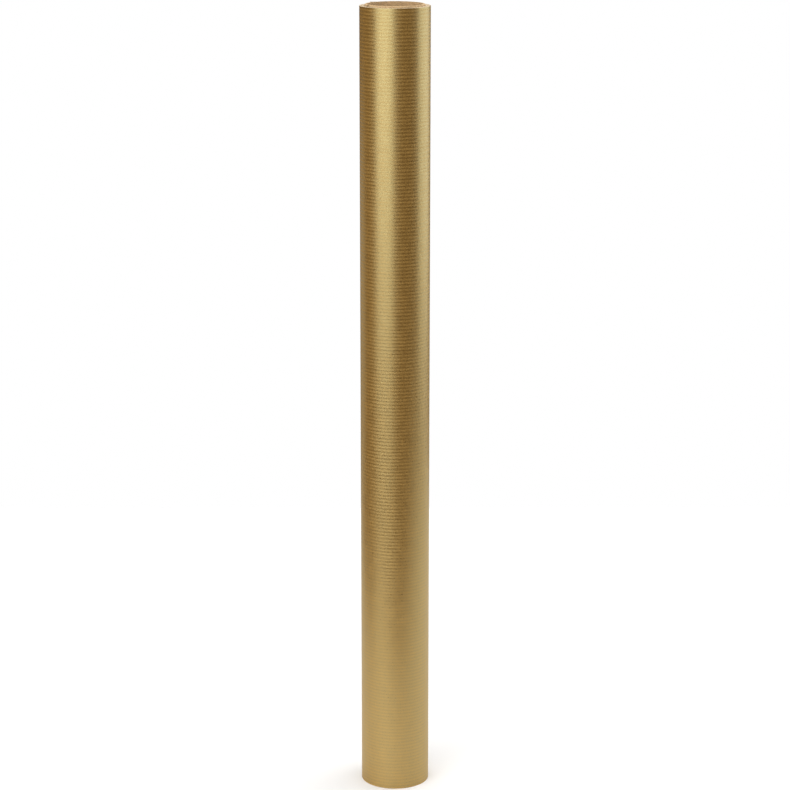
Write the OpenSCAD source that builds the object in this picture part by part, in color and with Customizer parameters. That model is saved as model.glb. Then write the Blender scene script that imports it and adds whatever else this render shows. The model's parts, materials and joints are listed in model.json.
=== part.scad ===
// Roll of gift wrapping paper: one long sheet wound on a loose board core.
// The roll stands on its end. The origin is on the axis, at the end face that it stands on, and +Z is up.

/* [Paper] */
// Width of the sheet, which is the height of the standing roll
sheet_w = 500; // [300:10:1000]
// Length of the sheet that is wound on the roll
sheet_len = 5000; // [2000:500:10000]
// Thickness that one turn takes up, with the air between two turns
turn_t = 0.082; // [0.06:0.002:0.14]

/* [Core] */
// Radius of the hole through the core
core_bore_r = 17.1; // [10:0.1:40]
// Thickness of the inner ply of core board
inner_ply_t = 0.36; // [0.2:0.02:1]
// Thickness of the middle ply of core board
middle_ply_t = 0.36; // [0.2:0.02:1]
// Thickness of the outer ply of core board
outer_ply_t = 0.36; // [0.2:0.02:1]
// How far the core stands out above the top edge of the paper
core_over = 1; // [0:0.5:10]
// Radial gap between the core and the first turn of paper
core_gap = 0.35; // [0.2:0.05:1]

/* [Tail of the sheet] */
// Thickness of the loose end of the sheet
tail_t = 0.12; // [0.08:0.02:0.4]
// Length of the loose end round the roll, from its bend line to its edge
tail_len = 32; // [15:1:45]
// Direction of the bend line, in degrees from +X, anticlockwise from above
tail_from = 48; // [0:1:359]
// Radial gap between the loose end and the turn under it
tail_gap = 0.15; // [0.1:0.05:0.4]

/* [Tape] */
// Height of the strip of tape that holds the loose end down
tape_w = 19; // [10:1:50]
// Length of the tape that lies on the loose end
tape_on_tail = 14; // [5:1:14]
// Length of the tape that lies on the roll, past the edge of the loose end
tape_past_edge = 12; // [5:1:30]
// Thickness of the tape
tape_t = 0.06; // [0.04:0.01:0.2]
// Radial gap between the tape and the roll
tape_gap = 0.1; // [0.05:0.05:0.15]

/* [Hidden] */
$fn = 160;

// The three plies lie one on the next, glued face to face.
core_h = sheet_w + core_over;
middle_ply_r = core_bore_r + inner_ply_t;
outer_ply_r = middle_ply_r + middle_ply_t;
core_r = outer_ply_r + outer_ply_t;

// The end face of the winding has the same area as the edge of the flat sheet.
winding_bore_r = core_r + core_gap;
winding_r = sqrt(pow(winding_bore_r, 2) + sheet_len * turn_t / PI);

// The loose end bends outwards along an upright line on its inner face.
tail_r = winding_r + tail_gap;
tail_arc = arc_of(tail_len, tail_r);
tail_edge = tail_from + tail_arc;

// The tape lies on the loose end, steps down at its edge and goes on just off the roll.
tape_high_r = tail_r + tail_t;
tape_low_r = winding_r + tape_gap;
tape_z = (sheet_w - tape_w) / 2;

// Angle in degrees of an arc of a given length
function arc_of(length, r) = length / r * 180 / PI;

module tube(r, t, h) {
    difference() {
        cylinder(r = r + t, h = h);
        translate([0, 0, -1]) cylinder(r = r, h = h + 2);
    }
}

// A shell of thickness t that stands on radius r, from one angle to another
module curved_shell(r, t, h, from, to) {
    rotate([0, 0, from])
        rotate_extrude(angle = to - from)
            translate([r, 0]) square([t, h]);
}

module core_inner_ply() {
    color("peru") tube(core_bore_r, inner_ply_t, core_h);
}

module core_middle_ply() {
    color("tan") tube(middle_ply_r, middle_ply_t, core_h);
}

module core_outer_ply() {
    color("burlywood") tube(outer_ply_r, outer_ply_t, core_h);
}

module paper_winding() {
    color("darkgoldenrod") tube(winding_bore_r, winding_r - winding_bore_r, sheet_w);
}

module paper_tail() {
    color("goldenrod") curved_shell(tail_r, tail_t, sheet_w, tail_from, tail_edge);
}

module tail_tape() {
    on_tail = tail_edge - arc_of(tape_on_tail, tape_high_r);
    step_end = tail_edge + arc_of(tape_t, tape_high_r);
    past_edge = tail_edge + arc_of(tape_past_edge, tape_low_r);
    color("whitesmoke") translate([0, 0, tape_z]) {
        curved_shell(tape_high_r, tape_t, tape_w, on_tail, step_end);
        curved_shell(tape_low_r, tape_high_r - tape_low_r + tape_t, tape_w, tail_edge, step_end);
        curved_shell(tape_low_r, tape_t, tape_w, tail_edge, past_edge);
    }
}

core_inner_ply();
core_middle_ply();
core_outer_ply();
paper_winding();
paper_tail();
tail_tape();
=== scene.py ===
import json
import math

import bmesh
import bpy
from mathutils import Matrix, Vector


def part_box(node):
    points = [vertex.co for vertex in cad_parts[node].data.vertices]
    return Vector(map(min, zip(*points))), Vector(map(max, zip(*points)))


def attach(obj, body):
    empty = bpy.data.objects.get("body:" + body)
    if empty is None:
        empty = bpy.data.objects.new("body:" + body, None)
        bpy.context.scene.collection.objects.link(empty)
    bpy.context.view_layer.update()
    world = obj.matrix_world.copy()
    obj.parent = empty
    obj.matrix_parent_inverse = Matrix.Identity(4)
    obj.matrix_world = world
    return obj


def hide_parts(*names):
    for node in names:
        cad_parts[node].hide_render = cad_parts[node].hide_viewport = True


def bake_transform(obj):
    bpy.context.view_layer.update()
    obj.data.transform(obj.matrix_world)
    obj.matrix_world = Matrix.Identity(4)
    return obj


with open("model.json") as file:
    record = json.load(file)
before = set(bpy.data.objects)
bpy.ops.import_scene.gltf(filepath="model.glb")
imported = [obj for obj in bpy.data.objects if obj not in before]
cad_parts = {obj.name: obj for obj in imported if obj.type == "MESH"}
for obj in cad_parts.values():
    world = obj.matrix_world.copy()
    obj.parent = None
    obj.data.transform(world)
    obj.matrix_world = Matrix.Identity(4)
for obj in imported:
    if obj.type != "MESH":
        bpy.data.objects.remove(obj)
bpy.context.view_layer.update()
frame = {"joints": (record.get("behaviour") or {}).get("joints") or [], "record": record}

mm = 0.001
fullTurn = 2 * math.pi
sharpAngle = math.radians(35)   # edges that turn by more than this stay sharp
weldGap = 0.005 * mm            # points that lie closer than this become one


# node helpers, shared by the geometry trees and the materials

class Term:
    # one output socket, so that node maths reads as a plain expression
    def __init__(self, bench, socket):
        self.bench = bench
        self.socket = socket

    def __add__(self, other):
        return self.bench.maths("ADD", self, other)

    def __sub__(self, other):
        return self.bench.maths("SUBTRACT", self, other)

    def __rsub__(self, other):
        return self.bench.maths("SUBTRACT", other, self)

    def __mul__(self, other):
        return self.bench.maths("MULTIPLY", self, other)

    def __truediv__(self, other):
        return self.bench.maths("DIVIDE", self, other)

    def __rtruediv__(self, other):
        return self.bench.maths("DIVIDE", other, self)

    def __gt__(self, other):
        return self.bench.maths("GREATER_THAN", self, other)

    def __lt__(self, other):
        return self.bench.maths("LESS_THAN", self, other)

    __radd__ = __add__
    __rmul__ = __mul__


def rgba(colour):
    return (*colour, 1.0)


class Bench:
    # adds nodes to one tree
    def __init__(self, tree):
        self.tree = tree

    def node(self, kind, settings=None, sockets=None):
        made = self.tree.nodes.new(kind)
        for name, value in (settings or {}).items():
            if name == "stops":
                self.setStops(made.color_ramp, value)
            else:
                setattr(made, name, value)
        for name, value in (sockets or {}).items():
            self.feed(made.inputs[name], value)
        return made

    def feed(self, socket, value):
        if isinstance(value, Term):
            self.tree.links.new(value.socket, socket)
        else:
            socket.default_value = value

    def term(self, kind, settings=None, sockets=None, output=0):
        return Term(self, self.node(kind, settings, sockets).outputs[output])

    def maths(self, operation, *values):
        return self.term("ShaderNodeMath", {"operation": operation}, dict(enumerate(values)))

    def setStops(self, ramp, stops):
        while len(ramp.elements) < len(stops):
            ramp.elements.new(1.0)
        for element, (position, colour) in zip(ramp.elements, stops):
            element.position = position
            element.color = rgba(colour)


# sizes: the frame gives the outside of each piece, and the dictionaries say how it is made

def radiusOf(node):
    low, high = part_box(node)
    return (high[0] - low[0]) / 2


rollRadius = radiusOf("paper_winding")
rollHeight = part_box("paper_winding")[1][2]
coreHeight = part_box("core_outer_ply")[1][2]
coreRadius = radiusOf("core_outer_ply")
middleRadius = radiusOf("core_middle_ply")
innerRadius = radiusOf("core_inner_ply")
coreHole = next(m for m in frame["record"]["mounts"] if m["name"] == "core_hole")
holeRadius = coreHole["dims"]["r_mm"] * mm
liftJoint = next(j for j in frame["joints"] if j["name"] == "tail_lift")
bendLine = Vector(liftJoint["pos_m"])
bendAngle = math.atan2(bendLine.y, bendLine.x)
tapeLow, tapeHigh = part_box("tail_tape")

sheet = {
    "length": 5.0,            # the whole sheet
    "paper": 0.06 * mm,       # one thickness of it
    "boreGap": 0.35 * mm,     # core to first turn
    "ribPitch": 2.17 * mm,
    "ribDepth": 0.035 * mm,   # crest to trough
    "rowsPerRib": 4,
    "tailLength": 32 * mm,
    "tailSteps": 30,
    "tailLoose": 0.07 * mm,   # the tail stands this far off the turn under it
    "looseRate": 3,           # it gets there in the first third of its length
    "cornerLift": 0.9 * mm,   # more towards the tail's two free corners
    "cornerCurve": 1.6,       # how much the lift keeps to the corners
    "tailSlip": 0.8 * mm,     # the tail's edge has slipped up the roll by this much
    "edgeWander": 0.025 * mm,   # how unevenly the turns end
    "endNoises": ((0.83, 0), (0.61, 40)),   # lower and upper end: its rate and where it starts
    "stepsPerTurn": 96,
    "innerSteps": 0.75,       # the turns inside need only this share of the steps
    "backRows": 41,           # rows on the plain back of the outer turn and the tail
}
core = {
    "strip": 74 * mm,                   # the board that each ply is wound from, edge to edge
    "seam": 0.45 * mm,                  # the gap where two turns of a strip meet
    "seamStarts": (0.15, 0.48, 0.81),   # inner, middle and outer, in turns, so that the seams lie apart
    "stepsPerTurn": 96,
}
boreRadius = coreRadius + sheet["boreGap"]
turnGrowth = math.pi * (rollRadius ** 2 - boreRadius ** 2) / sheet["length"]
ribCount = round(rollHeight / sheet["ribPitch"])
turnCount = (rollRadius - boreRadius) / turnGrowth
tailSweep = sheet["tailLength"] / rollRadius
sheetEnd = fullTurn * turnCount            # the angle wound, from the start of the sheet
bendAt = sheetEnd - tailSweep              # where the tail leaves the roll
outerStart = bendAt - fullTurn
sheetPhase = bendAngle - bendAt            # turns a wound angle into a direction


# geometry trees

def newTree(name, inputs):
    # inputs are (name, kind) pairs; gives the bench, the input terms and their identifiers
    tree = bpy.data.node_groups.new(name, "GeometryNodeTree")
    kinds = {"value": "NodeSocketFloat", "whole": "NodeSocketInt", "material": "NodeSocketMaterial"}
    identifiers = {}
    for label, kind in inputs:
        made = tree.interface.new_socket(name=label, in_out="INPUT", socket_type=kinds[kind])
        identifiers[label] = made.identifier
    tree.interface.new_socket(name="Geometry", in_out="OUTPUT", socket_type="NodeSocketGeometry")
    bench = Bench(tree)
    entry = bench.node("NodeGroupInput")
    return bench, {label: Term(bench, entry.outputs[label]) for label, _ in inputs}, identifiers


def sharpEdges(bench, geometry):
    # smooth faces, with the sharp edges left sharp
    smooth = bench.term("GeometryNodeSetShadeSmooth", {"domain": "FACE"}, {"Geometry": geometry})
    angle = bench.term("GeometryNodeInputMeshEdgeAngle", None, None, "Unsigned Angle")
    sockets = {"Geometry": smooth, "Selection": angle > sharpAngle, "Shade Smooth": False}
    return bench.term("GeometryNodeSetShadeSmooth", {"domain": "EDGE"}, sockets)


def loopTube(bench, steps, around):
    # a closed tube with steps + 1 rings of the given number of points, still to be shaped
    line = bench.term("GeometryNodeMeshLine", None, {"Count": steps + 1})
    path = bench.term("GeometryNodeMeshToCurve", None, {"Mesh": line})
    loop = bench.term("GeometryNodeMeshCircle", None, {"Vertices": around})
    profile = bench.term("GeometryNodeMeshToCurve", None, {"Mesh": loop})
    sockets = {"Curve": path, "Profile Curve": profile, "Fill Caps": True}
    inward = bench.term("GeometryNodeCurveToMesh", None, sockets)
    tube = bench.term("GeometryNodeFlipFaces", None, {"Mesh": inward})
    index = bench.term("GeometryNodeInputIndex")
    ring = bench.maths("FLOOR", (index + 0.5) / around)
    return tube, ring, bench.maths("ROUND", index - ring * around)


def placeRound(bench, geometry, radius, angle, height):
    sockets = {0: radius * bench.maths("COSINE", angle), 1: radius * bench.maths("SINE", angle), 2: height}
    place = bench.term("ShaderNodeCombineXYZ", None, sockets)
    return bench.term("GeometryNodeSetPosition", None, {"Geometry": geometry, "Position": place})


def markPlace(bench, geometry, along, across):
    # where each point lies on the flat paper or board, for the grain and the print
    flat = bench.term("ShaderNodeCombineXYZ", None, {0: along, 1: across})
    kinds = {"data_type": "FLOAT_VECTOR", "domain": "POINT"}
    sockets = {"Geometry": geometry, "Name": "flatPlace", "Value": flat}
    return bench.term("GeometryNodeStoreNamedAttribute", kinds, sockets)


def finishTree(bench, geometry, skins):
    # skins are (material, where it goes) pairs
    made = bench.term("GeometryNodeRealizeInstances", None, {"Geometry": geometry})
    for material, where in skins:
        sockets = {"Geometry": made, "Selection": where, "Material": material}
        made = bench.term("GeometryNodeSetMaterial", None, sockets)
    last = bench.node("NodeGroupOutput")
    bench.feed(last.inputs["Geometry"], made)


def drawSheet():
    # a stretch of the wound sheet, ribbed on its outer face
    inputs = [("Start", "value"), ("Sweep", "value"), ("Phase", "value"), ("Bore Radius", "value")]
    inputs += [("Growth", "value"), ("Thickness", "value"), ("Height", "value"), ("Ribs", "value")]
    inputs += [("Rib Depth", "value"), ("Wander", "value"), ("Loose", "value"), ("Corner Lift", "value")]
    inputs += [("Slip", "value"), ("Unrolled Radius", "value")]
    inputs += [("Steps", "whole"), ("Rows", "whole"), ("Back Rows", "whole")]
    inputs += [("Face", "material"), ("Back", "material")]
    bench, given, identifiers = newTree("rolledSheet", inputs)

    # the points of a ring go up the outer face and then down the inner one
    rows, backRows = given["Rows"], given["Back Rows"]
    tube, ring, place = loopTube(bench, given["Steps"], rows + backRows)
    outside = place < rows - 0.5
    share = outside * place / (rows - 1) + (1 - outside) * (1 - (place - rows) / (backRows - 1))
    along = ring / given["Steps"]
    angle = given["Start"] + given["Sweep"] * along

    # the two ends of the roll are never quite even
    wanders = []
    for speed, start in sheet["endNoises"]:
        sockets = {"W": angle * speed + start, "Scale": 1.0, "Detail": 2.0}
        wanders.append(bench.term("ShaderNodeTexNoise", {"noise_dimensions": "1D"}, sockets))
    inset = (1 - share) * wanders[0] - share * wanders[1]
    onSheet = given["Height"] * share
    height = onSheet + given["Wander"] * inset + given["Slip"] * along * along

    ribs = bench.maths("COSINE", share * given["Ribs"] * fullTurn)
    relief = outside * given["Rib Depth"] * 0.5 * (ribs - 1)
    middle = given["Bore Radius"] + given["Growth"] * angle / fullTurn
    wall = given["Thickness"] * (outside - 1)
    eased = bench.maths("MINIMUM", along * sheet["looseRate"], 1.0)
    fromMiddle = bench.maths("ABSOLUTE", share * 2 - 1)
    corner = bench.maths("POWER", fromMiddle, sheet["cornerCurve"]) * along * along * along
    lift = given["Loose"] * eased + given["Corner Lift"] * corner
    shaped = placeRound(bench, tube, middle + wall + relief + lift, angle + given["Phase"], height)
    marked = markPlace(bench, shaped, angle * given["Unrolled Radius"], onSheet)

    # the ink is on the faces that look away from the roll's axis
    normal = bench.term("GeometryNodeInputNormal")
    spot = bench.term("GeometryNodeInputPosition")
    level = bench.term("ShaderNodeVectorMath", {"operation": "MULTIPLY"}, {0: spot, 1: (1, 1, 0)})
    outward = bench.term("ShaderNodeVectorMath", {"operation": "NORMALIZE"}, {0: level})
    facing = bench.term("ShaderNodeVectorMath", {"operation": "DOT_PRODUCT"}, {0: normal, 1: outward}, 1)
    skins = [(given["Back"], True), (given["Face"], facing > 0.5)]
    finishTree(bench, sharpEdges(bench, marked), skins)
    return bench.tree, identifiers


def drawPly():
    # one strip of board wound in a helix with its edges butted, cut square at both ends
    inputs = [("Inside", "value"), ("Outside", "value"), ("Height", "value"), ("Lead", "value")]
    inputs += [("Seam", "value"), ("Phase", "value"), ("Steps", "whole"), ("Board", "material")]
    bench, given, identifiers = newTree("woundPly", inputs)

    # corners 0 to 3 are the outer lower, outer upper, inner upper and inner lower one
    tube, ring, corner = loopTube(bench, given["Steps"], 4)
    lead = given["Lead"]
    lastTurn = (given["Height"] - given["Seam"]) / lead + 1
    turns = lastTurn * ring / given["Steps"]
    upper = (corner > 0.5) * (corner < 2.5)
    edge = lead * (turns - 1 + upper) + given["Seam"] * (1 - upper)
    height = bench.term("ShaderNodeClamp", None, {"Value": edge, "Min": 0.0, "Max": given["Height"]})
    inner = corner > 1.5
    radius = given["Outside"] + (given["Inside"] - given["Outside"]) * inner
    shaped = placeRound(bench, tube, radius, turns * fullTurn + given["Phase"], height)
    marked = markPlace(bench, shaped, turns * fullTurn * given["Outside"], height - lead * (turns - 1))
    merged = bench.term("GeometryNodeMergeByDistance", None, {"Geometry": marked, "Distance": weldGap})
    finishTree(bench, sharpEdges(bench, merged), [(given["Board"], True)])
    return bench.tree, identifiers


def grow(name, drawn, values):
    # runs a tree once and keeps the plain mesh
    tree, identifiers = drawn
    piece = bpy.data.objects.new(name, bpy.data.meshes.new(name))
    bpy.context.scene.collection.objects.link(piece)
    modifier = piece.modifiers.new(name, "NODES")
    modifier.node_group = tree
    for label, value in values.items():
        modifier[identifiers[label]] = value
    bpy.context.view_layer.update()
    ready = piece.evaluated_get(bpy.context.evaluated_depsgraph_get())
    mesh = bpy.data.meshes.new_from_object(ready)
    piece.modifiers.clear()
    piece.data = mesh
    print(name, len(mesh.vertices), "points,", len(mesh.polygons), "faces")
    return piece


# materials

def newMaterial(name):
    material = bpy.data.materials.new(name)
    material.use_nodes = True
    material.node_tree.nodes.clear()
    bench = Bench(material.node_tree)
    shader = bench.node("ShaderNodeBsdfPrincipled")
    output = bench.node("ShaderNodeOutputMaterial")
    material.node_tree.links.new(shader.outputs[0], output.inputs["Surface"])
    return material, bench, shader


def flatPlace(bench, stretch=(1, 1, 1)):
    # metres along and across the flat sheet or strip
    place = bench.term("ShaderNodeAttribute", {"attribute_name": "flatPlace"}, None, "Vector")
    return bench.term("ShaderNodeMapping", None, {"Vector": place, "Scale": stretch})


def noise(bench, vector, scale, detail=3.0, roughness=0.55):
    sockets = {"Vector": vector, "Scale": scale, "Detail": detail, "Roughness": roughness}
    return bench.term("ShaderNodeTexNoise", None, sockets)


goldFinish = {
    "deep": (0.125, 0.050, 0.001),
    "shade": (0.165, 0.067, 0.003),
    "light": (0.330, 0.144, 0.010),
    "sheen": (1.0, 0.895, 0.450),
    "shadeAt": 0.25,       # where shade comes between deep and light
    "roughness": 0.405,
    "ior": 3.0,
    "fibreScale": 1000,
    "fibreAspect": 2.0,
    "fibreDetail": 4.0,
    "fibreFray": 0.6,      # how rough the fibres' own outline is
    "fibreInk": 1.8,       # how strongly they show in the ink
    "mottleScale": 160,
    "mottleInk": 0.4,
    "fibreHeight": 0.012 * mm,
    "fibreBump": 0.6,
    "paintedRibShade": 0.195,       # painted rib shading: how much lighter one flank of each rib is painted than the other
    "roughInk": 0.315,     # and the lighter it is, the rougher
}


def goldPaper():
    # gold ink on ribbed kraft paper with fibres showing through, and painted shading on the ribs: one
    # flank of each rib is painted lighter than the other
    material, bench, shader = newMaterial("goldPaper")
    finish = goldFinish
    stretched = flatPlace(bench, (1, finish["fibreAspect"], 1))
    fine = noise(bench, stretched, finish["fibreScale"], finish["fibreDetail"], finish["fibreFray"])
    mottle = noise(bench, flatPlace(bench), finish["mottleScale"])
    onSheet = bench.term("ShaderNodeSeparateXYZ", None, {"Vector": flatPlace(bench)}, "Y")
    # painted rib shading: the base colour runs lighter on one flank of each rib and darker on the other
    flankShade = bench.maths("SINE", onSheet * (fullTurn * ribCount / rollHeight))
    mottleAndRibShade = (mottle - 0.5) * finish["mottleInk"] + flankShade * (mottle + 0.5) * finish["paintedRibShade"]
    tone = (fine - 0.5) * finish["fibreInk"] + mottleAndRibShade
    stops = [(0.0, finish["deep"]), (finish["shadeAt"], finish["shade"]), (1.0, finish["light"])]
    inkAndRibShade = bench.term("ShaderNodeValToRGB", {"stops": stops}, {"Fac": tone + 0.5})
    bench.feed(shader.inputs["Base Color"], inkAndRibShade)
    bench.feed(shader.inputs["Roughness"], finish["roughness"] + tone * finish["roughInk"])
    sockets = {"Strength": finish["fibreBump"], "Distance": finish["fibreHeight"], "Height": fine}
    bench.feed(shader.inputs["Normal"], bench.term("ShaderNodeBump", None, sockets))
    bench.feed(shader.inputs["IOR"], finish["ior"])
    bench.feed(shader.inputs["Specular Tint"], rgba(finish["sheen"]))
    return material


boardFinish = {
    "boardGrain": 700,
    "paperGrain": 900,
    "fibreAspect": 0.35,      # stretches the fibres along the strip
    "fibreDetail": 5.0,
    "fibreFray": 0.65,
    "cloudScale": 60,
    "clouds": 0.22,           # the share of the tone that is cloud, the rest is fibre
    "darkAt": 0.30,
    "lightAt": 0.70,
    "edgeStain": 1.6 * mm,    # how far the glue at a strip's edges shows
    "stainDepth": 0.45,
    "stained": 0.6,           # the darkest stain, as a share of the dark colour
    "roughness": 0.78,
    "roughSpread": 0.2,
    "fibreHeight": 0.03 * mm,
    "fibreBump": 0.5,
}
boardColours = {
    # dark and light fibres
    "paperBack": ((0.62, 0.47, 0.29), (0.80, 0.66, 0.46)),
    "boardInside": ((0.50, 0.33, 0.16), (0.74, 0.54, 0.31)),
    "boardMiddle": ((0.42, 0.28, 0.15), (0.60, 0.43, 0.25)),
    "boardOutside": ((0.55, 0.38, 0.20), (0.78, 0.58, 0.34)),
}


def boardMaterial(name, grain, strip=None):
    # kraft board or paper: long fibres over a faint cloudiness, and glue at the edges of a wound strip
    material, bench, shader = newMaterial(name)
    finish = boardFinish
    dark, light = boardColours[name]
    stretched = flatPlace(bench, (finish["fibreAspect"], 1, 1))
    fibres = noise(bench, stretched, grain, finish["fibreDetail"], finish["fibreFray"])
    cloud = noise(bench, flatPlace(bench), finish["cloudScale"])
    tone = fibres + (cloud - fibres) * finish["clouds"]
    if strip:
        across = bench.term("ShaderNodeSeparateXYZ", None, {"Vector": flatPlace(bench)}, "Y")
        fromEdge = bench.maths("MINIMUM", across, strip - across)
        stain = bench.maths("MAXIMUM", 1 - fromEdge / finish["edgeStain"], 0.0)
        tone = tone - stain * finish["stainDepth"]
    stained = [finish["stained"] * channel for channel in dark]
    ramp = {"stops": [(0.0, stained), (finish["darkAt"], dark), (finish["lightAt"], light)]}
    bench.feed(shader.inputs["Base Color"], bench.term("ShaderNodeValToRGB", ramp, {"Fac": tone}))
    bench.feed(shader.inputs["Roughness"], finish["roughness"] + (fibres - 0.5) * finish["roughSpread"])
    sockets = {"Strength": finish["fibreBump"], "Distance": finish["fibreHeight"], "Height": fibres}
    bench.feed(shader.inputs["Normal"], bench.term("ShaderNodeBump", None, sockets))
    return material


tapeFinish = {
    "tint": (0.80, 0.74, 0.60),
    "haze": 0.05,          # how much the adhesive hides
    "hazeSpread": 0.05,
    "hazeScale": 260,
    "roughness": 0.09,
    "roughSpread": 0.10,
    "specular": 0.9,
}


def clearTape():
    # nearly clear film: a faint haze in the adhesive and a gloss on top
    material, bench, shader = newMaterial("clearTape")
    place = bench.term("ShaderNodeTexCoord", None, None, "Object")
    haze = noise(bench, place, tapeFinish["hazeScale"])
    bench.feed(shader.inputs["Base Color"], rgba(tapeFinish["tint"]))
    bench.feed(shader.inputs["Roughness"], tapeFinish["roughness"] + haze * tapeFinish["roughSpread"])
    bench.feed(shader.inputs["Alpha"], tapeFinish["haze"] + haze * tapeFinish["hazeSpread"])
    bench.feed(shader.inputs["Specular IOR Level"], tapeFinish["specular"])
    return material


goldFace = goldPaper()
paperBack = boardMaterial("paperBack", boardFinish["paperGrain"])
boardInside = boardMaterial("boardInside", boardFinish["boardGrain"], core["strip"])
boardMiddle = boardMaterial("boardMiddle", boardFinish["boardGrain"], core["strip"])
boardOutside = boardMaterial("boardOutside", boardFinish["boardGrain"], core["strip"])
tapeFilm = clearTape()
print("materials made")


# the sheet of paper

sheetTree = drawSheet()
ribRows = ribCount * sheet["rowsPerRib"] + 1
common = {
    # what the three stretches of the sheet share
    "Phase": sheetPhase,
    "Bore Radius": boreRadius,
    "Growth": turnGrowth,
    "Thickness": sheet["paper"],
    "Height": rollHeight,
    "Ribs": float(ribCount),
    "Unrolled Radius": rollRadius,
    "Wander": sheet["edgeWander"],
    "Face": goldFace,
    "Back": paperBack,
}
plain = {"Rib Depth": 0.0, "Back Rows": 2}
ribbed = {"Rib Depth": sheet["ribDepth"], "Back Rows": sheet["backRows"]}
loose = {"Loose": sheet["tailLoose"], "Corner Lift": sheet["cornerLift"], "Slip": sheet["tailSlip"]}


def growSheet(name, start, sweep, steps, rows, look):
    values = {**common, "Start": start, "Sweep": sweep, "Steps": steps, "Rows": rows, **look}
    return grow(name, sheetTree, values)


innerSteps = round(outerStart / fullTurn * sheet["stepsPerTurn"] * sheet["innerSteps"])
innerTurns = growSheet("inner_turns", 0.0, outerStart, innerSteps, 2, plain)
outerTurn = growSheet("outer_turn", outerStart, fullTurn, sheet["stepsPerTurn"], ribRows, ribbed)
tail = growSheet("tail", bendAt, tailSweep, sheet["tailSteps"], ribRows, {**ribbed, **loose})
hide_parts("paper_winding")
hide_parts("paper_tail")
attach(innerTurns, "roll")
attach(outerTurn, "roll")


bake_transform(tail)
print("sheet made")


# the core, three plies of board

plyTree = drawPly()
plySteps = round((coreHeight / core["strip"] + 1) * core["stepsPerTurn"])


def growPly(name, node, inside, outside, turn, board):
    values = {"Inside": inside, "Outside": outside, "Height": coreHeight, "Lead": core["strip"]}
    values.update({"Seam": core["seam"], "Phase": turn * fullTurn, "Steps": plySteps, "Board": board})
    piece = grow(name, plyTree, values)
    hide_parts(node)
    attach(piece, "core")
    return piece


innerSeam, middleSeam, outerSeam = core["seamStarts"]
innerPly = growPly("inner_ply", "core_inner_ply", holeRadius, innerRadius, innerSeam, boardInside)
middlePly = growPly("middle_ply", "core_middle_ply", innerRadius, middleRadius, middleSeam, boardMiddle)
outerPly = growPly("outer_ply", "core_outer_ply", middleRadius, coreRadius, outerSeam, boardOutside)
print("core made")


# the strip of tape over the tail's edge

tape = {
    "onTail": 14 * mm,
    "pastEdge": 12 * mm,
    "film": 0.05 * mm,
    "lift": 0.012 * mm,    # adhesive under the film
    "bridge": 0.9 * mm,    # length that spans the step at the edge
    "tooth": 0.95 * mm,    # the cutter's teeth at both ends
    "toothDepth": 0.45 * mm,
    "columns": 36,
}


def surfaceUnder(angle):
    # radius that the tape lies on, at a direction past the bend line
    wound = bendAt + (angle - bendAngle)
    edge = bendAngle + tailSweep
    over = boreRadius + turnGrowth * wound / fullTurn + sheet["tailLoose"]
    under = boreRadius + turnGrowth * (wound - fullTurn) / fullTurn
    share = min(max((angle - edge) / (tape["bridge"] / rollRadius), 0.0), 1.0)
    return over + (under - over) * share


def makeTape():
    low, high = tapeLow[2], tapeHigh[2]
    teeth = round((high - low) / tape["tooth"])
    edge = bendAngle + tailSweep
    first = edge - tape["onTail"] / rollRadius
    last = edge + tape["pastEdge"] / rollRadius
    bm = bmesh.new()
    layers = []
    for raised in (tape["lift"], tape["lift"] + tape["film"]):
        grid = []
        for i in range(tape["columns"] + 1):
            share = i / tape["columns"]
            atEnd = -1 if i == 0 else 1 if i == tape["columns"] else 0
            column = []
            for j in range(2 * teeth + 1):
                notch = (j % 2) * tape["toothDepth"] / rollRadius
                angle = first + (last - first) * share - atEnd * notch
                radius = surfaceUnder(angle) + raised
                height = low + (high - low) * j / (2 * teeth)
                column.append(bm.verts.new((radius * math.cos(angle), radius * math.sin(angle), height)))
            grid.append(column)
        layers.append(grid)
    under, over = layers
    for i in range(tape["columns"]):
        for j in range(2 * teeth):
            bm.faces.new((over[i][j], over[i + 1][j], over[i + 1][j + 1], over[i][j + 1]))
            bm.faces.new((under[i][j], under[i][j + 1], under[i + 1][j + 1], under[i + 1][j]))

    # the rim goes once round the strip and joins the two layers
    rim = [(i, 0) for i in range(tape["columns"])]
    rim += [(tape["columns"], j) for j in range(2 * teeth)]
    rim += [(i, 2 * teeth) for i in range(tape["columns"], 0, -1)]
    rim += [(0, j) for j in range(2 * teeth, 0, -1)]
    for (i, j), (nextI, nextJ) in zip(rim, rim[1:] + rim[:1]):
        bm.faces.new((under[i][j], under[nextI][nextJ], over[nextI][nextJ], over[i][j]))
    bmesh.ops.recalc_face_normals(bm, faces=bm.faces)
    for face in bm.faces:
        face.smooth = True
    for line in bm.edges:
        line.smooth = line.calc_face_angle(0) < sharpAngle
    mesh = bpy.data.meshes.new("tape")
    bm.to_mesh(mesh)
    bm.free()
    mesh.materials.append(tapeFilm)
    piece = bpy.data.objects.new("tape", mesh)
    bpy.context.scene.collection.objects.link(piece)
    return piece


tapePiece = makeTape()
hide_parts("tail_tape")
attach(tapePiece, "tail")
print("tape made")


# floor, light and camera

studio = {
    "floorNear": 0.27,      # how far the floor comes forward of the roll
    "floorBack": 0.6,
    "floorLeft": 0.36,
    "floorRight": 0.6,
    "floorColour": (0.90, 0.90, 0.90),
    "floorRoughness": 0.9,
    "floorGloss": 0.1,
    "surroundings": 0.10,   # how bright the room is to all but the camera
}


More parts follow.
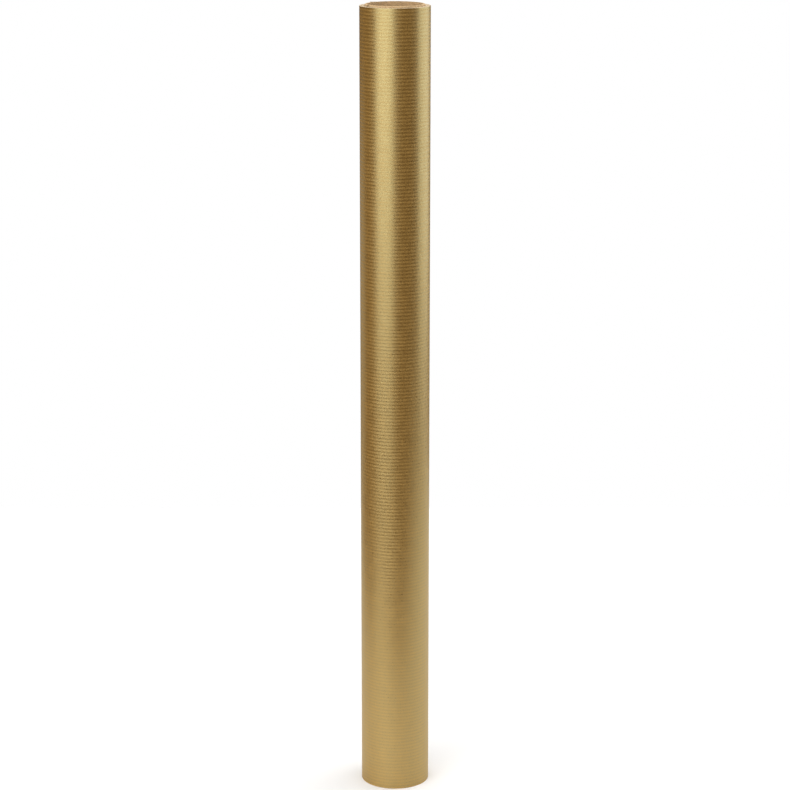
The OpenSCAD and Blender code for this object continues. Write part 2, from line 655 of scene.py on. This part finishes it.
def makeFloor():
    mesh = bpy.data.meshes.new("floor")
    left, right = -studio["floorLeft"], studio["floorRight"]
    near, back = -studio["floorNear"], studio["floorBack"]
    corners = [(left, near, 0), (right, near, 0), (right, back, 0), (left, back, 0)]
    mesh.from_pydata(corners, [], [(0, 1, 2, 3)])
    material, bench, shader = newMaterial("paleFloor")
    bench.feed(shader.inputs["Base Color"], rgba(studio["floorColour"]))
    bench.feed(shader.inputs["Roughness"], studio["floorRoughness"])
    bench.feed(shader.inputs["Specular IOR Level"], studio["floorGloss"])
    mesh.materials.append(material)
    floor = bpy.data.objects.new("floor", mesh)
    bpy.context.scene.collection.objects.link(floor)


def softLight(name, place, target, size, power, colour):
    data = bpy.data.lights.new(name, "AREA")
    data.shape = "RECTANGLE"
    data.size, data.size_y = size
    data.energy = power
    data.color = colour
    light = bpy.data.objects.new(name, data)
    light.location = place
    light.rotation_euler = (Vector(target) - Vector(place)).to_track_quat("-Z", "Y").to_euler()
    light.visible_camera = False
    bpy.context.scene.collection.objects.link(light)


def atAzimuth(degrees, distance, height):
    # 0 degrees is the camera's side of the roll, and 90 is to the camera's right
    angle = math.radians(degrees)
    return (distance * math.sin(angle), -distance * math.cos(angle), height)


middle = (0, 0, rollHeight / 2)
lights = {
    # place, what it faces, width and height, watts and colour
    "key": (atAzimuth(-34, 1.3, 0.51), middle, (1.5, 1.05), 14.8, (1.0, 0.98, 0.95)),
    "rim": (atAzimuth(110, 1.2, 0.52), middle, (1.4, 1.1), 10.3, (1.0, 0.99, 0.97)),
    "fill": (atAzimuth(-135, 1.0, 0.1), middle, (0.7, 0.4), 0.5, (1, 1, 1)),
    "top": ((0, 0.35, 2.2), (0, 0.35, 0), (3.2, 3.6), 73, (1, 1, 1)),
}
makeFloor()
for name, settings in lights.items():
    softLight(name, *settings)


def makeWorld():
    # the camera sees a white backdrop, and the surfaces see a dimmer room
    world = bpy.data.worlds.new("studio")
    world.use_nodes = True
    world.node_tree.nodes.clear()
    bench = Bench(world.node_tree)
    seen = bench.term("ShaderNodeLightPath", None, None, "Is Camera Ray")
    dim = studio["surroundings"]
    sockets = {"Color": rgba((1, 1, 1)), "Strength": dim + seen * (1.0 - dim)}
    backdrop = bench.term("ShaderNodeBackground", None, sockets)
    bench.node("ShaderNodeOutputWorld", None, {"Surface": backdrop})
    bpy.context.scene.world = world


makeWorld()

camera = {
    "distance": 1.462,   # from the roll's axis
    "above": 0.129,      # above the top of the roll
    "tilt": 14.27,       # degrees below level
    "lens": 109.3,
    "film": 36,
}
eyeData = bpy.data.cameras.new("camera")
eyeData.lens = camera["lens"]
eyeData.sensor_width = camera["film"]
eye = bpy.data.objects.new("camera", eyeData)
eye.location = (0, -camera["distance"], rollHeight + camera["above"])
eye.rotation_euler = (math.radians(90 - camera["tilt"]), 0, 0)
bpy.context.scene.collection.objects.link(eye)
bpy.context.scene.camera = eye
bpy.context.scene.view_settings.view_transform = "Standard"
print("studio made")
